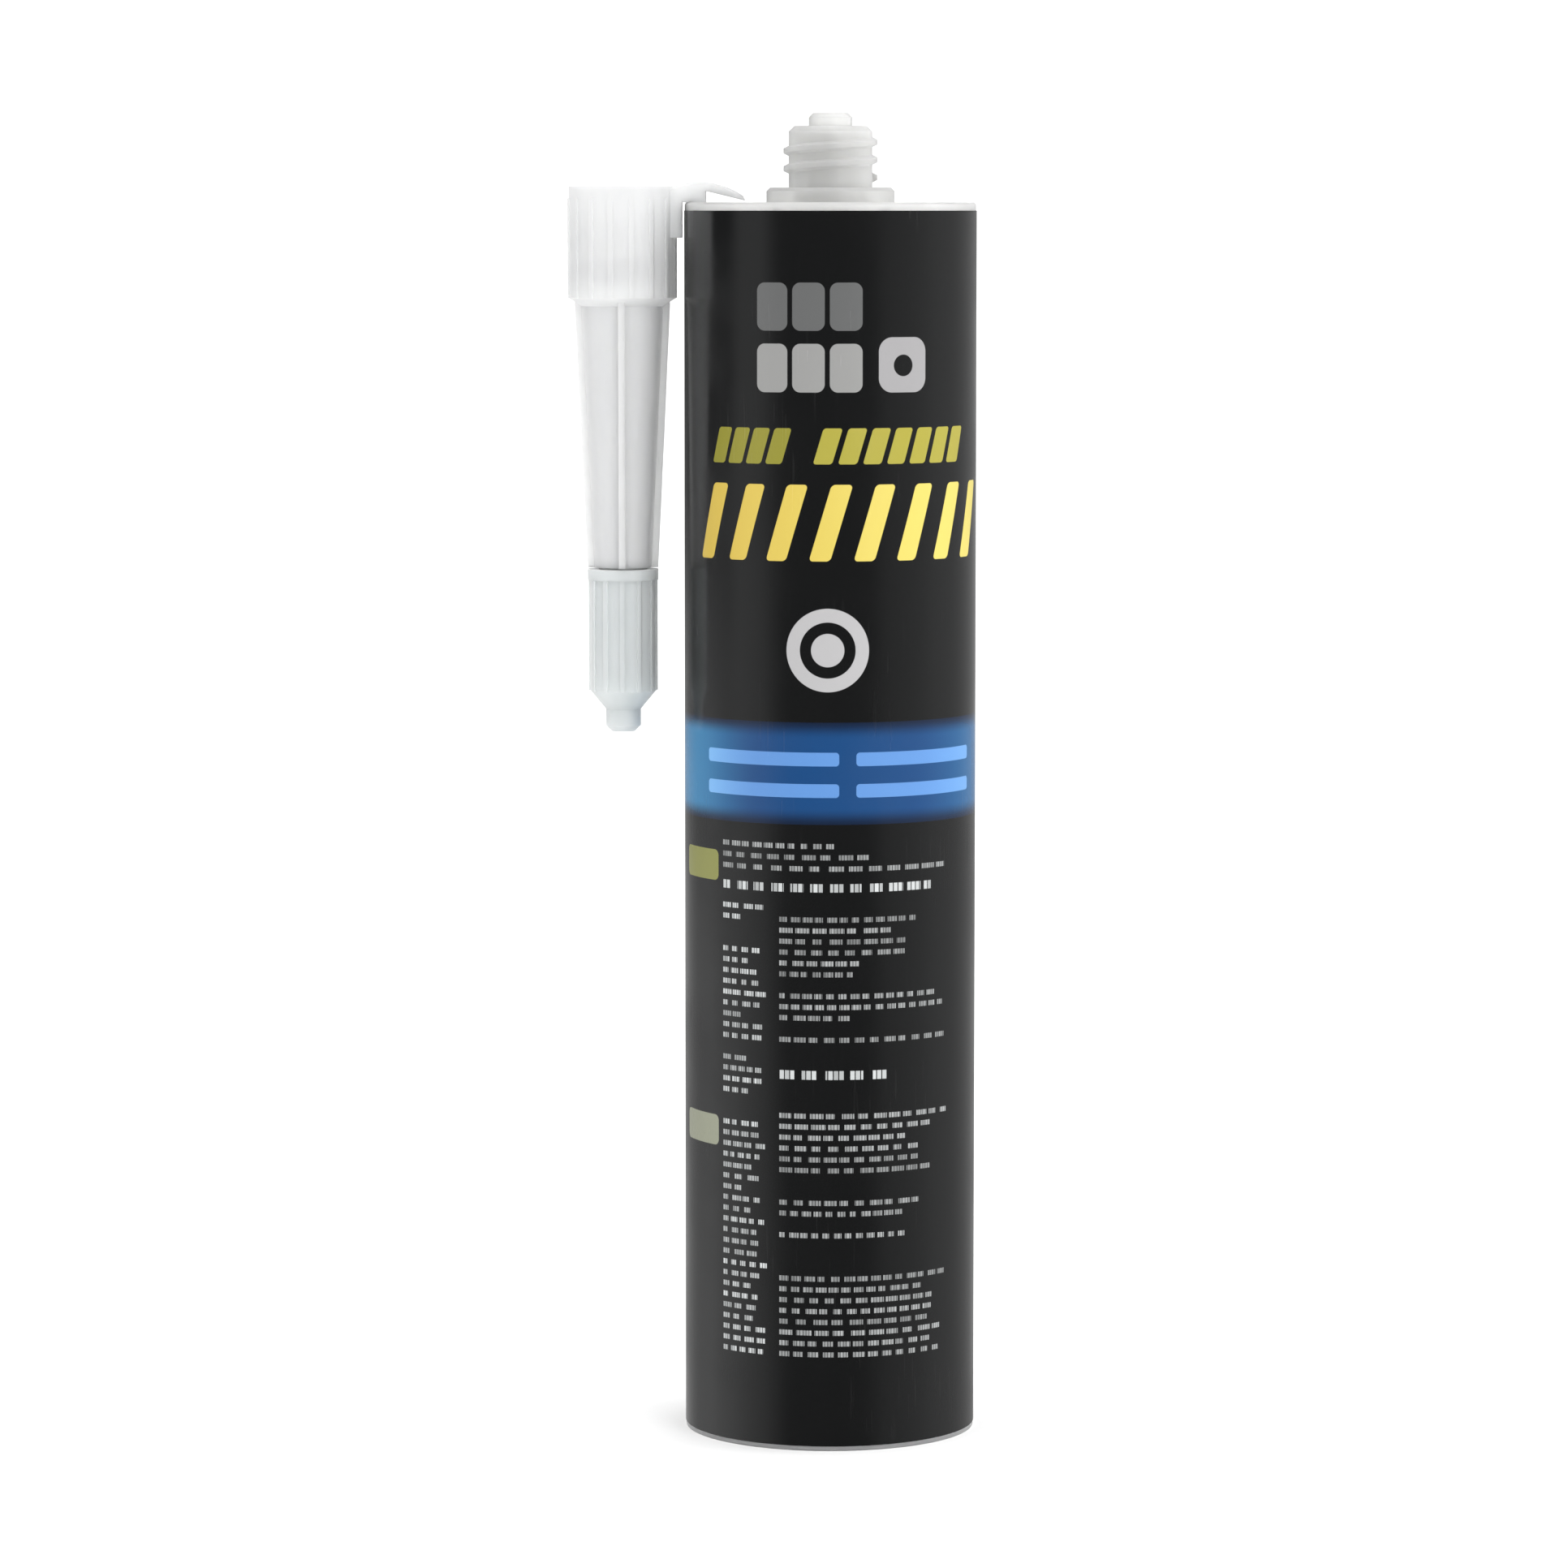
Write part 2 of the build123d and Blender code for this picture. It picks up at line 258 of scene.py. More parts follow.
def film_mesh(name):
    """The film as a closed solid: two skins, two long edges and two cut ends."""
    mesh = bpy.data.meshes.new(name)
    bm = bmesh.new()
    heights = (label_low.z, label_high.z)
    rows = [
        [[bm.verts.new(point + Vector((0, 0, z))) for point in skin] for z in heights]
        for skin in film_section()
    ]
    (in_low, in_high), (out_low, out_high) = rows
    for n in range(len(in_low) - 1):
        bm.faces.new((out_low[n], out_high[n], out_high[n + 1], out_low[n + 1]))
        bm.faces.new((in_low[n], in_low[n + 1], in_high[n + 1], in_high[n]))
        bm.faces.new((out_high[n], in_high[n], in_high[n + 1], out_high[n + 1]))
        bm.faces.new((out_low[n], out_low[n + 1], in_low[n + 1], in_low[n]))
    for n in (0, -1):
        bm.faces.new((in_low[n], in_high[n], out_high[n], out_low[n]))
    bmesh.ops.recalc_face_normals(bm, faces=bm.faces)
    bm.to_mesh(mesh)
    bm.free()
    return mesh


def shaded_smooth(mesh, sharp_degrees=35):
    """Smooth shading, broken at edges sharper than an angle."""
    mesh.polygons.foreach_set("use_smooth", [True] * len(mesh.polygons))
    mesh.set_sharp_from_angle(angle=math.radians(sharp_degrees))


def new_piece(name, mesh, material):
    """A finished mesh as an object in the scene."""
    mesh.materials.append(material)
    piece = bpy.data.objects.new(name, mesh)
    bpy.context.scene.collection.objects.link(piece)
    return piece


# Where a point lies on the film: millimetres across from the middle of the front, and up from the rear
label_place, given, result = shader_group(
    "Label Place", {"Radius mm": 24.92}, {"Across": "NodeSocketFloat", "Height": "NodeSocketFloat"}
)
tree = label_place
axes = place(tree, "ShaderNodeSeparateXYZ", {0: surface_position(tree)}).outputs
angle = calc(tree, "ARCTAN2", axes["X"], calc(tree, "MULTIPLY", axes["Y"], -1.0))
tree.links.new(calc(tree, "MULTIPLY", angle, given["Radius mm"]), result["Across"])
tree.links.new(calc(tree, "MULTIPLY", axes["Z"], 1 / MM), result["Height"])

# How far the ink fades out on each side of a printed edge
ink_edge = 0.05


def reach(tree, across, up):
    """The straight distance to a point that lies so far across and so far up."""
    squares = calc(tree, "ADD", calc(tree, "MULTIPLY", across, across), calc(tree, "MULTIPLY", up, up))
    return calc(tree, "SQRT", squares)


def outside_bar(tree, across, half_width, up, half_tall, corner):
    """How far a point lies outside a round-cornered bar."""
    out_across = calc(tree, "ADD", calc(tree, "SUBTRACT", calc(tree, "ABSOLUTE", across), half_width), corner)
    out_up = calc(tree, "ADD", calc(tree, "SUBTRACT", calc(tree, "ABSOLUTE", up), half_tall), corner)
    outside = reach(tree, calc(tree, "MAXIMUM", out_across, 0.0), calc(tree, "MAXIMUM", out_up, 0.0))
    inside = calc(tree, "MINIMUM", calc(tree, "MAXIMUM", out_across, out_up), 0.0)
    return calc(tree, "SUBTRACT", calc(tree, "ADD", outside, inside), corner)


# A row of like bars, upright or on a slant
bar_row, given, result = shader_group(
    "Bar Row",
    {
        "Across": 0.0, "Height": 0.0, "Left": 0.0, "Level": 0.0, "Pitch": 5.0, "Count": 1.0,
        "Width": 4.0, "Tall": 4.0, "Corner": 0.5, "Slant": 0.0,
    },
    {"Mask": "NodeSocketFloat"},
)
tree = bar_row
up = calc(tree, "SUBTRACT", given["Height"], given["Level"])
along = calc(tree, "SUBTRACT", given["Across"], given["Left"])
along = calc(tree, "SUBTRACT", along, calc(tree, "MULTIPLY", given["Slant"], up))
last_bar = calc(tree, "SUBTRACT", given["Count"], 1.0)
bar = calc(tree, "FLOOR", calc(tree, "DIVIDE", along, given["Pitch"]))
bar = calc(tree, "MAXIMUM", calc(tree, "MINIMUM", bar, last_bar), 0.0)
middle = calc(tree, "MULTIPLY", calc(tree, "ADD", bar, 0.5), given["Pitch"])
distance = outside_bar(
    tree,
    calc(tree, "SUBTRACT", along, middle),
    calc(tree, "MULTIPLY", given["Width"], 0.5),
    up,
    calc(tree, "MULTIPLY", given["Tall"], 0.5),
    given["Corner"],
)
tree.links.new(ramp(tree, distance, ink_edge, -ink_edge), result["Mask"])

# A ring, or a dot where the ring is twice as thick as its radius
print_ring, given, result = shader_group(
    "Print Ring",
    {"Across": 0.0, "Height": 0.0, "Middle": 0.0, "Level": 0.0, "Radius": 6.0, "Thick": 2.0},
    {"Mask": "NodeSocketFloat"},
)
tree = print_ring
from_middle = reach(tree, calc(tree, "SUBTRACT", given["Across"], given["Middle"]),
                    calc(tree, "SUBTRACT", given["Height"], given["Level"]))
off_line = calc(tree, "ABSOLUTE", calc(tree, "SUBTRACT", from_middle, given["Radius"]))
distance = calc(tree, "SUBTRACT", off_line, calc(tree, "MULTIPLY", given["Thick"], 0.5))
tree.links.new(ramp(tree, distance, ink_edge, -ink_edge), result["Mask"])


def chance(tree, a, b, output="Value"):
    """A fixed random value, or three of them as a colour, for a pair of numbers."""
    pair = place(tree, "ShaderNodeCombineXYZ", {0: a, 1: b}).outputs[0]
    return place(tree, "ShaderNodeTexWhiteNoise", {"Vector": pair}, noise_dimensions="2D").outputs[output]


# Small print, too fine to read: rows of short broken words, with nothing spelled in them
word_rows, given, result = shader_group(
    "Word Rows",
    {
        "Across": 0.0, "Height": 0.0, "Left": 0.0, "Right": 10.0, "Low": 0.0, "High": 10.0,
        "Pitch": 2.6, "Thick": 1.1, "Word": 4.0, "Seed": 0.0,
    },
    {"Mask": "NodeSocketFloat"},
)
tree = word_rows

# Each row has its own luck: some are left out, and the others are printed more or less strongly
printed_rows = 0.93
faintest_ink = 0.6
rows_up = calc(tree, "DIVIDE", calc(tree, "SUBTRACT", given["Height"], given["Low"]), given["Pitch"])
row = calc(tree, "FLOOR", rows_up)
luck = place(tree, "ShaderNodeSeparateXYZ", {0: chance(tree, row, given["Seed"], "Color")}).outputs
off_row = calc(tree, "ABSOLUTE", calc(tree, "SUBTRACT", calc(tree, "SUBTRACT", rows_up, row), 0.5))
off_row = calc(tree, "MULTIPLY", off_row, given["Pitch"])
outside_row = calc(tree, "SUBTRACT", off_row, calc(tree, "MULTIPLY", given["Thick"], 0.5))
mask = ramp(tree, outside_row, ink_edge, -ink_edge)
mask = calc(tree, "MULTIPLY", mask, calc(tree, "LESS_THAN", luck["Z"], printed_rows))
mask = calc(tree, "MULTIPLY", mask, level_between(tree, luck["Z"], faintest_ink, 1.0))

# The words are broken up finely, into strokes of slightly different strength
stroke_pitch = 0.62
stroke_gap = 0.2
in_left = calc(tree, "SUBTRACT", given["Across"], given["Left"])
strokes = calc(tree, "DIVIDE", in_left, calc(tree, "MULTIPLY", given["Thick"], stroke_pitch))
stroke = calc(tree, "FLOOR", strokes)
in_stroke = calc(tree, "GREATER_THAN", calc(tree, "SUBTRACT", strokes, stroke), stroke_gap)
mask = calc(tree, "MULTIPLY", mask, in_stroke)
mask = calc(tree, "MULTIPLY", mask, level_between(tree, chance(tree, stroke, luck["X"]), faintest_ink, 1.0))

# Each row's words start flush at the left, at a spacing of the row's own
spacing = calc(tree, "MULTIPLY", given["Word"], level_between(tree, luck["X"], low=0.75, high=1.25))
words = calc(tree, "DIVIDE", in_left, spacing)
word = calc(tree, "FLOOR", words)
word_length = level_between(tree, chance(tree, word, luck["Y"]), low=0.52, high=0.88)
in_word = calc(tree, "LESS_THAN", calc(tree, "SUBTRACT", words, word), word_length)
mask = calc(tree, "MULTIPLY", mask, in_word)

# The rows end ragged, each after a whole word, and few of them are much shorter than the widest
shortest_row = 0.4
row_evenness = 3.0
word_end = calc(tree, "MULTIPLY", calc(tree, "ADD", word, word_length), spacing)
row_share = level_between(tree, calc(tree, "POWER", luck["Y"], row_evenness), 1.0, shortest_row)
row_length = calc(tree, "MULTIPLY", calc(tree, "SUBTRACT", given["Right"], given["Left"]), row_share)
inside = calc(tree, "MINIMUM", calc(tree, "SUBTRACT", row_length, word_end), in_left)
inside = calc(tree, "MINIMUM", inside, rows_up)
inside = calc(tree, "MINIMUM", inside, calc(tree, "SUBTRACT", given["High"], given["Height"]))
tree.links.new(calc(tree, "MULTIPLY", mask, calc(tree, "GREATER_THAN", inside, 0.0)), result["Mask"])

# Marks of handling: short fine scratches, in patches, on two slants
scuffs, _, result = shader_group("Scuffs", {}, {"Mask": "NodeSocketFloat"})
tree = scuffs
position = surface_position(tree)
in_patch = ramp(tree, mottling(tree, position, scale=55, detail=2), start=0.5, end=0.68)
scratches = []
for slant, shift in ((0.5, 0.0), (-0.9, 3.7)):
    slanted = place(tree, "ShaderNodeMapping", {
        "Vector": position,
        "Rotation": (slant, slant, 0),
        "Location": (shift, 0, 0),
        "Scale": (1, 1, 0.04),
    }).outputs[0]
    scratches.append(ramp(tree, mottling(tree, slanted, scale=1900, detail=1), start=0.66, end=0.74))
tree.links.new(calc(tree, "MULTIPLY", calc(tree, "MAXIMUM", *scratches), in_patch), result["Mask"])

film_black = (0.0045, 0.0048, 0.0050, 1)
pale_grey = (0.38, 0.375, 0.38, 1)
light_grey = (0.295, 0.29, 0.295, 1)
mid_grey = (0.25, 0.25, 0.245, 1)
dim_grey = (0.105, 0.107, 0.107, 1)
deep_yellow = (0.54, 0.39, 0.065, 1)
light_yellow = (0.60, 0.505, 0.115, 1)
warm_yellow = (0.33, 0.295, 0.045, 1)
faded_yellow = (0.23, 0.215, 0.028, 1)
olive_yellow = (0.215, 0.22, 0.06, 1)
dusty_green = (0.25, 0.26, 0.19, 1)
# The band's cyan and its lines' pale blue are painted reflection, laid on toward the sides
band_blue = (0.0058, 0.050, 0.162, 1)
band_reflection_cyan = (0.030, 0.19, 0.38, 1)
band_dark = (0.004, 0.012, 0.035, 1)
bar_blue = (0.094, 0.233, 0.52, 1)
bar_reflection_pale = (0.20, 0.46, 0.80, 1)
print_grey = (0.355, 0.365, 0.365, 1)
column_grey = (0.565, 0.585, 0.585, 1)
head_grey = (0.58, 0.60, 0.60, 1)

label_film, tree, film_shader = new_material("printed label film")
spot = use(tree, label_place, {"Radius mm": film_radius / MM})
print_colour = film_black


def ink(mask, colour):
    """Lays one more colour over the print so far."""
    global print_colour
    print_colour = blend_colour(tree, mask, print_colour, colour)


def bars(left, level, pitch, count, width, tall, corner=0.5, slant=0.0):
    """The mask of a row of round-cornered bars on the film."""
    return use(tree, bar_row, {
        "Across": spot["Across"], "Height": spot["Height"], "Left": left, "Level": level, "Pitch": pitch,
        "Count": count, "Width": width, "Tall": tall, "Corner": corner, "Slant": slant,
    })["Mask"]


def ring(middle, level, radius, thick):
    """The mask of a printed ring or dot on the film."""
    return use(tree, print_ring, {
        "Across": spot["Across"], "Height": spot["Height"], "Middle": middle, "Level": level,
        "Radius": radius, "Thick": thick,
    })["Mask"]


def rows_of_words(across, left, right, low, high, pitch, thick, word, seed):
    """The mask of a block of small print on the film."""
    return use(tree, word_rows, {
        "Across": across, "Height": spot["Height"], "Left": left, "Right": right, "Low": low,
        "High": high, "Pitch": pitch, "Thick": thick, "Word": word, "Seed": seed,
    })["Mask"]


# Blue band, all the way round and fading to dark at its low and high edges, with a painted reflection that
# makes it paler at the sides, most on the left, and round the back
band_low, band_high, band_fade = 106.6, 123.8, 2.8
back_painted_reflection = 0.7
in_band = calc(tree, "MULTIPLY", ramp(tree, spot["Height"], band_low - ink_edge, band_low + ink_edge),
               ramp(tree, spot["Height"], band_high + ink_edge, band_high - ink_edge))
from_edge = calc(tree, "MINIMUM", calc(tree, "SUBTRACT", spot["Height"], band_low),
                 calc(tree, "SUBTRACT", band_high, spot["Height"]))
left_painted_reflection = ramp(tree, spot["Across"], start=-12.0, end=-31.0)
right_painted_reflection = ramp(tree, spot["Across"], start=14.0, end=36.0, high=0.4)
side_painted_reflection = calc(tree, "ADD", left_painted_reflection, right_painted_reflection)
to_back = ramp(tree, calc(tree, "ABSOLUTE", spot["Across"]), start=40.0, end=70.0)
side_painted_reflection = calc(tree, "MULTIPLY_ADD", to_back, calc(tree, "SUBTRACT", back_painted_reflection, side_painted_reflection), side_painted_reflection)
band_with_reflection = blend_colour(tree, side_painted_reflection, band_blue, band_reflection_cyan)
ink(in_band, blend_colour(tree, ramp(tree, from_edge, 0.0, band_fade), band_dark, band_with_reflection))

# Two broken pale lines on the front of the band, printed blue and made paler at the sides by the same painted
# reflection
for level in (117.6, 112.3):
    ink(bars(left=-25.7, level=level, pitch=28.5, count=2, width=25.6, tall=2.3, corner=0.6),
        blend_colour(tree, side_painted_reflection, bar_blue, bar_reflection_pale))

# Pale tiles in two rows, and beside them a tile on its own with a hole in it
ink(bars(left=-13.4, level=193.2, pitch=6.35, count=3, width=5.5, tall=8.0, corner=1.4), dim_grey)
ink(bars(left=-13.4, level=183.0, pitch=6.35, count=3, width=5.5, tall=8.1, corner=1.4), mid_grey)
ink(bars(left=7.85, level=183.5, pitch=9.4, count=1, width=9.0, tall=9.2, corner=2.4), light_grey)
ink(ring(middle=12.55, level=183.4, radius=0.9, thick=1.8), film_black)

# Yellow bars on a slant: a low row in two runs, and a tall row under it
lean = 0.3
ink(bars(left=-22.4, level=170.0, pitch=3.8, count=4, width=3.0, tall=6.0, slant=lean), faded_yellow)
ink(bars(left=-2.7, level=170.0, pitch=4.2, count=7, width=3.2, tall=6.0, slant=lean), warm_yellow)
yellow_across = ramp(tree, spot["Across"], start=-26.0, end=20.0)
ink(bars(left=-26.5, level=157.2, pitch=7.55, count=8, width=3.6, tall=12.8, corner=0.7, slant=lean),
    blend_colour(tree, yellow_across, deep_yellow, light_yellow))

# Ring with a dot in it
ink(ring(middle=-0.6, level=135.9, radius=5.85, thick=2.3), pale_grey)
ink(ring(middle=-0.6, level=135.9, radius=1.4, thick=2.8), pale_grey)

# Two small tiles to the left of the small print
for level, colour in ((98.9, olive_yellow), (53.6, dusty_green)):
    ink(bars(left=-32.8, level=level, pitch=11.2, count=1, width=11.2, tall=5.2, corner=1.0), colour)

# Small print: a narrow and a wide column at the front, in runs of rows with gaps between
print_pitch = 1.85
print_thick = 0.85
column_low = 15.6
column_tall = 80.0
narrow_left, narrow_right = -20.5, -11.0
wide_left, wide_right = -9.0, 22.5


def column_end(left, right, runs):
    """Where a column's rows end at each height, from its runs of rows upwards.

    Each run is a number of rows, with the share of the column's width that they may fill.
    """
    rise = calc(tree, "DIVIDE", calc(tree, "SUBTRACT", spot["Height"], column_low), column_tall)
    strip = place(tree, "ShaderNodeValToRGB", {"Fac": rise})
    strip.color_ramp.interpolation = "CONSTANT"
    elements = strip.color_ramp.elements
    elements.remove(elements[1])
    rows_below = 0
    for rows, share in runs:
        element = elements[0] if rows_below == 0 else elements.new(rows_below * print_pitch / column_tall)
        element.color = (share, share, share, 1)
        rows_below += rows
    return level_between(tree, strip.outputs["Color"], left, right)


narrow_runs = ((22, 1.0), (2, 0.0), (18, 1.0), (1, 0.0))
wide_runs = (
    (8, 1.0), (3, 0.0), (4, 0.9), (2, 0.0), (6, 1.0),
    (6, 0.0), (5, 1.0), (1, 0.0), (6, 0.78), (2, 0.0),
)
narrow_end = column_end(narrow_left, narrow_right, narrow_runs)
wide_end = column_end(wide_left, wide_right, wide_runs)

# The sides have two blocks each, in like places: the left side's places are carried round to the right
# side's, and a seed of its own keeps each side's words different
side_left, side_right = 38.0, 70.0
sides_from = -16.0
left_seed, right_seed = 6.0, 15.0
front = spot["Across"]
sides = calc(tree, "WRAP", front, sides_from + side_left + side_right, sides_from)
side_seed = level_between(tree, calc(tree, "GREATER_THAN", front, 0.0), left_seed, right_seed)

# Blocks: place across, left, right, low, high, row pitch, thickness, word spacing, seed and ink
blocks = (
    (front, narrow_left, 24.5, 98.2, 103.8, 1.9, print_thick, 2.7, 10.0, print_grey),
    (front, narrow_left, 19.5, 94.6, 97.2, 2.6, 1.4, 3.6, 11.0, head_grey),
    (front, narrow_left, narrow_end, column_low, 93.3, print_pitch, print_thick, 2.3, 1.0, column_grey),
    (front, wide_left, wide_end, column_low, 91.45, print_pitch, print_thick, 2.5, 2.0, print_grey),
    (front, wide_left, 26.0, 62.8, 65.6, 2.8, 1.5, 4.2, 3.0, head_grey),
    (sides, side_left, side_right, 15.0, 96.5, print_pitch, print_thick, 2.5, side_seed, print_grey),
    (sides, side_left, side_right, 134.0, 196.0, 2.6, 1.2, 3.6, side_seed, print_grey),
)
for *block, colour in blocks:
    ink(rows_of_words(*block), colour)

# The film's own skin: slow ripples, fine unevenness, smudges in the gloss, and scratches
ripple_height, skin_height, scratch_depth = 1.4e-5, 9e-7, 2e-7
scratch_paleness = 0.012
scratch_roughness = 0.1
position = surface_position(tree)
ripples = mottling(tree, drawn_out(tree, position, scales=(1, 1, 0.35)), scale=95, detail=1)
skin = mottling(tree, position, scale=900, detail=2)
smudges = mottling(tree, position, scale=60, detail=4)
scratches = use(tree, scuffs, {})["Mask"]
height = calc(tree, "MULTIPLY_ADD", ripples, ripple_height, calc(tree, "MULTIPLY", skin, skin_height))
height = calc(tree, "SUBTRACT", height, calc(tree, "MULTIPLY", scratches, scratch_depth))
film_normal = relief_normal(tree, height)
film_roughness = ramp(tree, smudges, start=0.35, end=0.7, low=0.17, high=0.27)
film_roughness = calc(tree, "MULTIPLY_ADD", scratches, scratch_roughness, film_roughness)
ink(calc(tree, "MULTIPLY", scratches, scratch_paleness), pale_grey)
feed(tree, film_shader, {
    "Base Color": print_colour,
    "Roughness": film_roughness,
    "Normal": film_normal,
    "IOR": 1.49,
})

label_mesh = film_mesh("label_film")
shaded_smooth(label_mesh)
label = new_piece("label_film", label_mesh, label_film)
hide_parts("label")
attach(label, "cartridge")

# Piston: a thin cup with two lips that wipe the bore, and ribs behind its face.
# It is moulded in plain uncoloured polythene and pushed into the open rear once the tube is filled.

dress("piston", moulded_plastic(
    "natural polythene",
    colour=(0.84, 0.84, 0.81),
    streak_colour=(0.78, 0.78, 0.745),
    roughness=0.42,
    grain=3.5e-6,
    see_through=0.18,
    glow_depth=1.0 * MM,
    edge_light=0.2,
))

# Sealant: a dark paste that fills the bore from the piston to the shoulder, and the hollow spout.
# It was pumped in warm, so it wets the wall all round and ends in a flat top with a soft edge.

# The column ends under the shoulder, which lies so far below the barrel's top
shoulder_drop = 20.45 * MM
paste_low, paste_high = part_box("sealant")
column_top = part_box("barrel")[1].z - shoulder_drop
column_radius = paste_high.x
core_radius = 4.13 * MM
paste_edge = 0.35 * MM
edge_steps = 4
round_steps = 120


def turned_mesh(name, profile):
    """A solid turned about the upright axis, from radii and heights that start and end on the axis."""
    mesh = bpy.data.meshes.new(name)
    bm = bmesh.new()
    turn = [2 * math.pi * n / round_steps for n in range(round_steps)]
    rings = []
    for radius, z in profile:
        if radius == 0:
            rings.append([bm.verts.new((0, 0, z))])
        else:
            rings.append([bm.verts.new((radius * math.cos(a), radius * math.sin(a), z)) for a in turn])
    for lower, upper in zip(rings, rings[1:]):
        for n in range(round_steps):
            m = (n + 1) % round_steps
            corners = [lower[n % len(lower)], lower[m % len(lower)]]
            corners += [upper[m % len(upper)], upper[n % len(upper)]]
            bm.faces.new(list(dict.fromkeys(corners)))
    bmesh.ops.recalc_face_normals(bm, faces=bm.faces)
    bm.to_mesh(mesh)
    bm.free()
    shaded_smooth(mesh)
    return mesh


def rounded_edge(radius, z, edge, upwards):
    """Points round the edge of a disc, from its flat to its side."""
    points = []
    for n in range(edge_steps + 1):
        angle = math.pi / 2 * n / edge_steps
        points.append((radius - edge + edge * math.sin(angle), z - upwards * edge * (1 - math.cos(angle))))
    return points


paste_dark = (0.020, 0.021, 0.022, 1)
paste_light = (0.040, 0.041, 0.043, 1)
fold_height, sheen_height = 2.5e-4, 1.2e-5
sealant_paste, tree, paste_shader = new_material("sealant paste")
position = surface_position(tree)
folds = mottling(tree, position, scale=120, detail=3, distortion=0.6)
sheen = mottling(tree, position, scale=700, detail=2)
paste_height = calc(tree, "MULTIPLY_ADD", folds, fold_height, calc(tree, "MULTIPLY", sheen, sheen_height))
feed(tree, paste_shader, {
    "Base Color": blend_colour(tree, ramp(tree, folds, start=0.35, end=0.7), paste_dark, paste_light),
    "Roughness": ramp(tree, sheen, start=0.3, end=0.7, low=0.24, high=0.38),
    "Normal": relief_normal(tree, paste_height, strength=0.6),
    "IOR": 1.44,
})

column_profile = [(0, paste_low.z)]
column_profile += rounded_edge(column_radius, paste_low.z, paste_edge, -1)
column_profile += reversed(rounded_edge(column_radius, column_top, paste_edge, 1))
column_profile += [(0, column_top)]
paste_column = new_piece("paste_column", turned_mesh("paste_column", column_profile), sealant_paste)
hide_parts("sealant")
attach(paste_column, "cartridge")
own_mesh(paste_column)

core_profile = [(0, column_top), (core_radius, column_top)]
core_profile += reversed(rounded_edge(core_radius, paste_high.z, paste_edge, 1))
core_profile += [(0, paste_high.z)]
paste_core = new_piece("paste_in_spout", turned_mesh("paste_in_spout", core_profile), sealant_paste)
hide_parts("sealant")
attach(paste_core, "cartridge")

# Nozzle: a skirt with an inside thread, a finned cone and a slim tip, with the hook that holds it.
# It is one moulding in frosted see-through polythene, and hangs tip down with its hook over the rim.

dress("nozzle", moulded_plastic(
    "frosted polythene",
    colour=(0.85, 0.855, 0.85),
    streak_colour=(0.80, 0.81, 0.81),
    roughness=0.32,
    grain=1.8e-6,
    see_through=0.3,
    glow_depth=5.0 * MM,
    edge_light=0.6,
))

# Cap: a small closed thimble pushed on the nozzle's tip.
# It is moulded in a slightly darker, cooler polythene than the nozzle.

dress("nozzle_cap", moulded_plastic(
    "cool polythene",
    colour=(0.69, 0.72, 0.72),
    streak_colour=(0.65, 0.69, 0.69),
    roughness=0.32,
    grain=2.2e-6,
    see_through=0.25,
    glow_depth=4.0 * MM,
    edge_light=0.6,
))

# Studio: a plain near-white floor under a white surround, lit by three softboxes, left, right and front.
# The surround is brighter overhead and behind. What glossy surfaces mirror in it is dimmer, with soft
# bright cards to the sides and dark gaps between them, so the black film stays deep.

floor_reach = 6.0
floor_mesh = bpy.data.meshes.new("floor")
floor_mesh.from_pydata(
    [(x * floor_reach, y * floor_reach, 0) for x, y in ((-1, -1), (1, -1), (1, 1), (-1, 1))],
    [],
    [(0, 1, 2, 3)],
)
paper_grey = (0.93, 0.93, 0.93, 1)
paper_white = (0.96, 0.96, 0.96, 1)
floor_material, tree, floor_shader = new_material("white paper floor")
fibres = mottling(tree, surface_position(tree), scale=900, detail=3)
feed(tree, floor_shader, {
    "Base Color": blend_colour(tree, fibres, paper_grey, paper_white),
    "Roughness": 0.9,
    "Specular IOR Level": 0.1,
})
floor = new_piece("floor", floor_mesh, floor_material)
floor.visible_glossy = False

world = bpy.data.worlds.new("white surround")
bpy.context.scene.world = world
world.use_nodes = True
tree = world.node_tree
background = tree.nodes["Background"]
direction = place(tree, "ShaderNodeTexCoord", {}).outputs["Generated"]
direction = place(tree, "ShaderNodeSeparateXYZ", {0: direction}).outputs


def card(*stops):
    """The level of one side of the surround in reflections, by stops from the front (-1) to the back (1)."""
    share = calc(tree, "MULTIPLY_ADD", direction["Y"], 0.5, 0.5)
    strip = place(tree, "ShaderNodeValToRGB", {"Fac": share})
    elements = strip.color_ramp.elements
    elements.remove(elements[1])
    elements[0].position = (stops[0][0] + 1) / 2
    for n, (y, level) in enumerate(stops):
        element = elements[0] if n == 0 else elements.new((y + 1) / 2)
        element.color = (level, level, level, 1)
    return strip.outputs["Color"]


right_card = card(
    (-1, 0.10), (-0.85, 0.12), (-0.70, 0.34), (-0.3, 0.45), (0.0, 0.56), (0.4, 0.48), (1, 0.45),
)
left_low = card(
    (-1, 0.12), (-0.82, 0.13), (-0.6, 0.55), (-0.1, 1.0), (0.3, 0.98), (0.65, 0.55), (1, 0.5),
)
left_high = card(
    (-1, 0.10), (-0.75, 0.10), (-0.55, 0.58), (-0.25, 0.50), (-0.05, 0.03), (0.4, 0.02), (0.7, 0.04),
    (1, 0.15),
)
to_low = ramp(tree, direction["Z"], start=-0.05, end=-0.095)
left_card = blend_colour(tree, to_low, left_high, left_low)
reflected = blend_colour(tree, calc(tree, "LESS_THAN", direction["X"], 0.0), right_card, left_card)

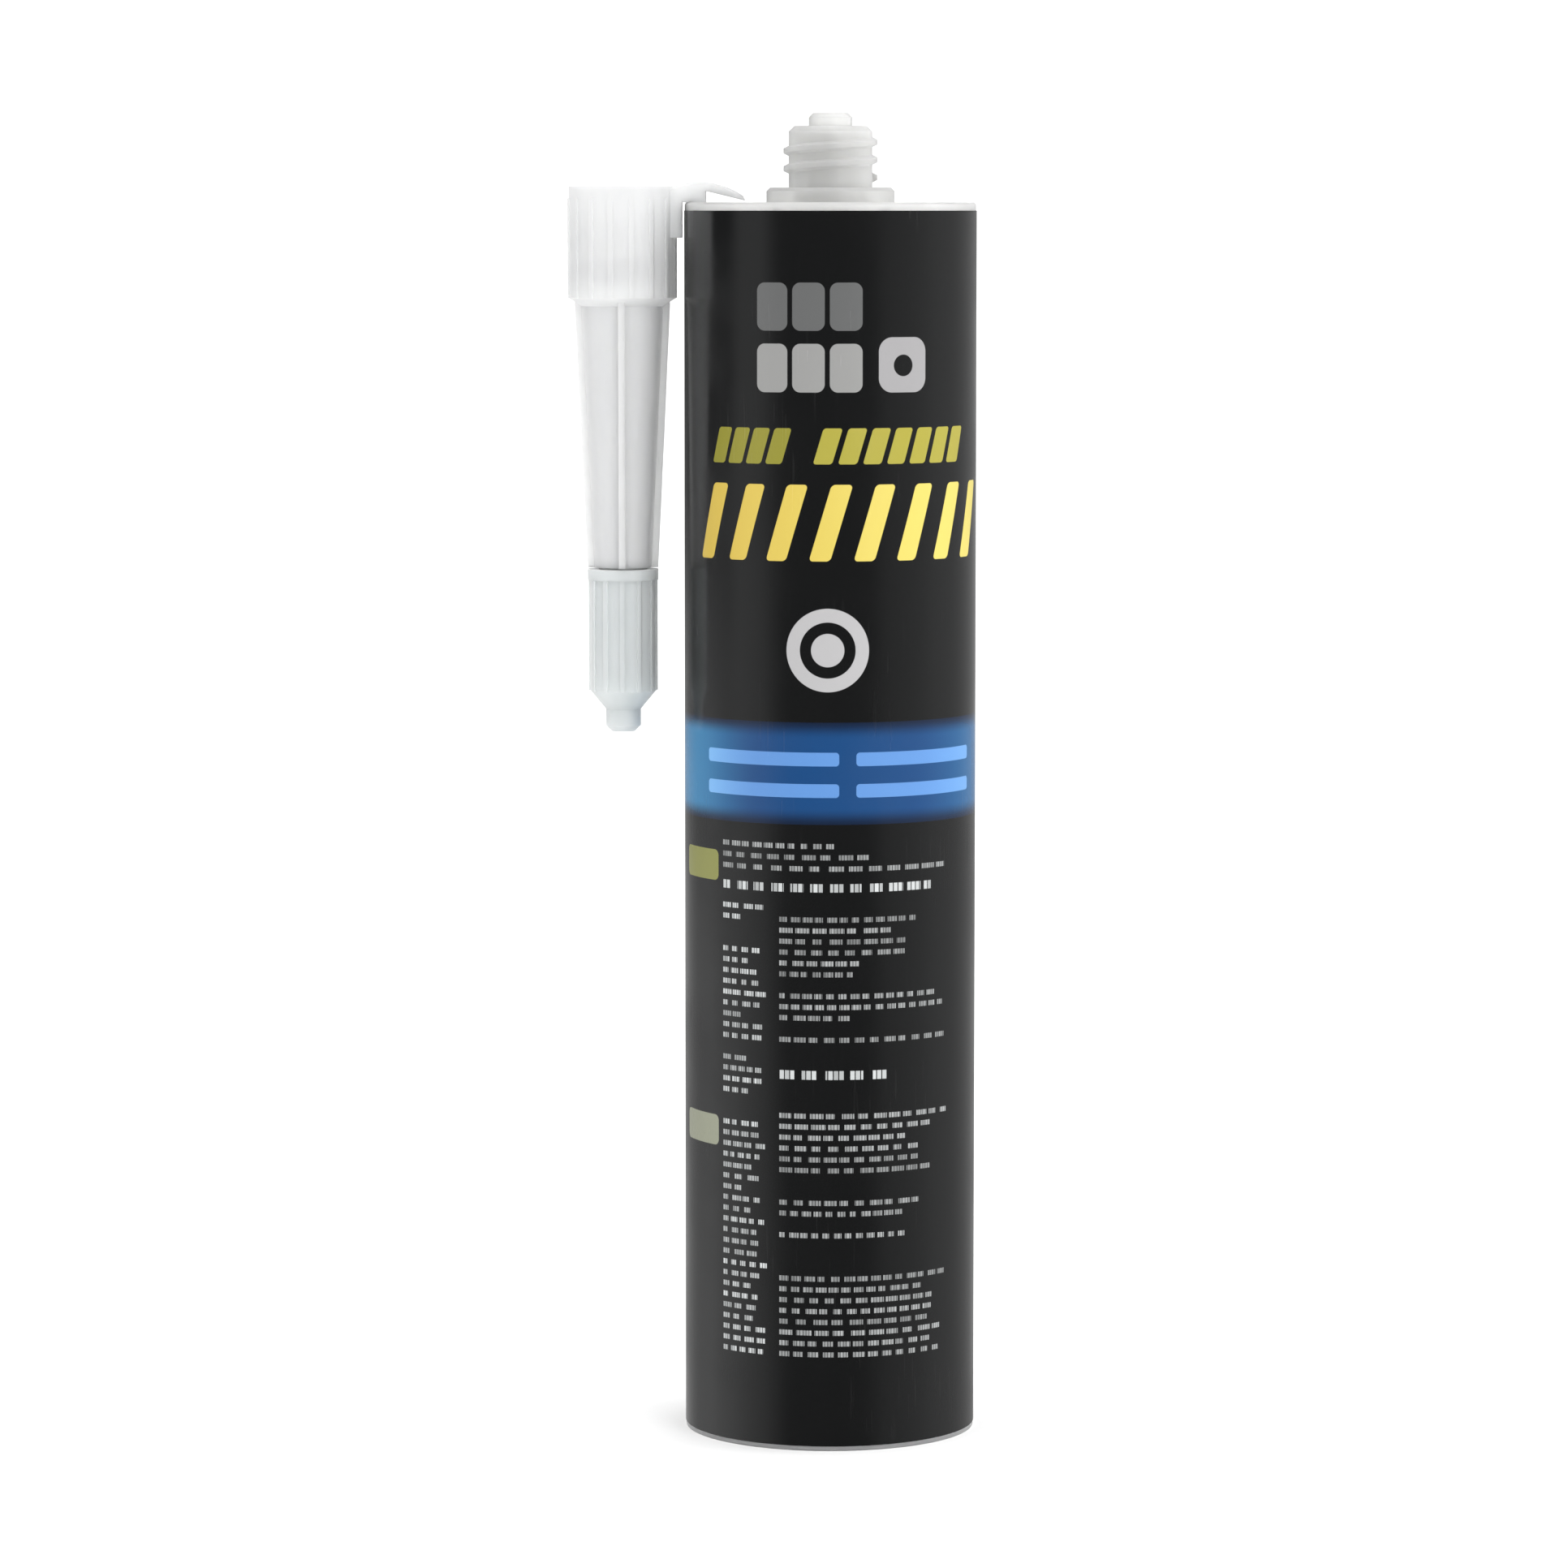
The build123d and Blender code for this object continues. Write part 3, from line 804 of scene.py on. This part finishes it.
light_all_round, light_overhead, light_behind = 0.8, 0.6, 0.5
overhead = ramp(tree, direction["Z"], start=0.25, end=0.8)
behind = ramp(tree, direction["Y"], start=0.1, end=0.9)
lighting = calc(tree, "ADD", calc(tree, "MULTIPLY", overhead, light_overhead),
                calc(tree, "MULTIPLY_ADD", behind, light_behind, light_all_round))

# Mirrored light comes from the cards, all other light from the surround, and the backdrop is plain white
path = place(tree, "ShaderNodeLightPath", {}).outputs
mirrored = calc(tree, "SUBTRACT", path["Is Glossy Ray"], path["Is Transmission Ray"], clamp=True)
light_level = blend_colour(tree, mirrored, lighting, reflected)
light_level = calc(tree, "MAXIMUM", light_level, path["Is Camera Ray"])
feed(tree, background, {"Color": (1, 1, 1, 1), "Strength": light_level})


def soft_light(name, stand, aim, size, power):
    """A square softbox at one point, aimed at another, and kept out of mirror-like reflections."""
    lamp = bpy.data.lights.new(name, "AREA")
    lamp.size = size
    lamp.energy = power
    light = bpy.data.objects.new(name, lamp)
    light.location = stand
    light.rotation_euler = (Vector(aim) - Vector(stand)).to_track_quat("-Z", "Y").to_euler()
    light.visible_glossy = False
    bpy.context.scene.collection.objects.link(light)


tube_middle = (0, 0, 0.12)
soft_light("left_softbox", stand=(-1.1, -0.9, 0.8), aim=tube_middle, size=0.8, power=2.5)
soft_light("right_softbox", stand=(1.3, 0.1, 0.6), aim=tube_middle, size=0.8, power=6.0)
soft_light("front_softbox", stand=(0.7, -1.13, 0.42), aim=tube_middle, size=0.7, power=7.0)

bpy.context.scene.view_settings.view_transform = "Standard"
bpy.context.scene.view_settings.look = "None"

# Camera: a long lens about a metre off, just under the rim's height and tilted slightly down.
# It stands a little to the left of the tube's middle, towards the hanging nozzle.

tilt_down = 5.51
camera_data = bpy.data.cameras.new("camera")
camera_data.lens = 137.03
camera_data.sensor_width = 36.0
camera_data.clip_start = 0.05
camera = bpy.data.objects.new("camera", camera_data)
camera.location = (-0.0079, -1.02, 0.2095)
camera.rotation_euler = (math.radians(90 - tilt_down), 0, 0)
bpy.context.scene.collection.objects.link(camera)
bpy.context.scene.camera = camera
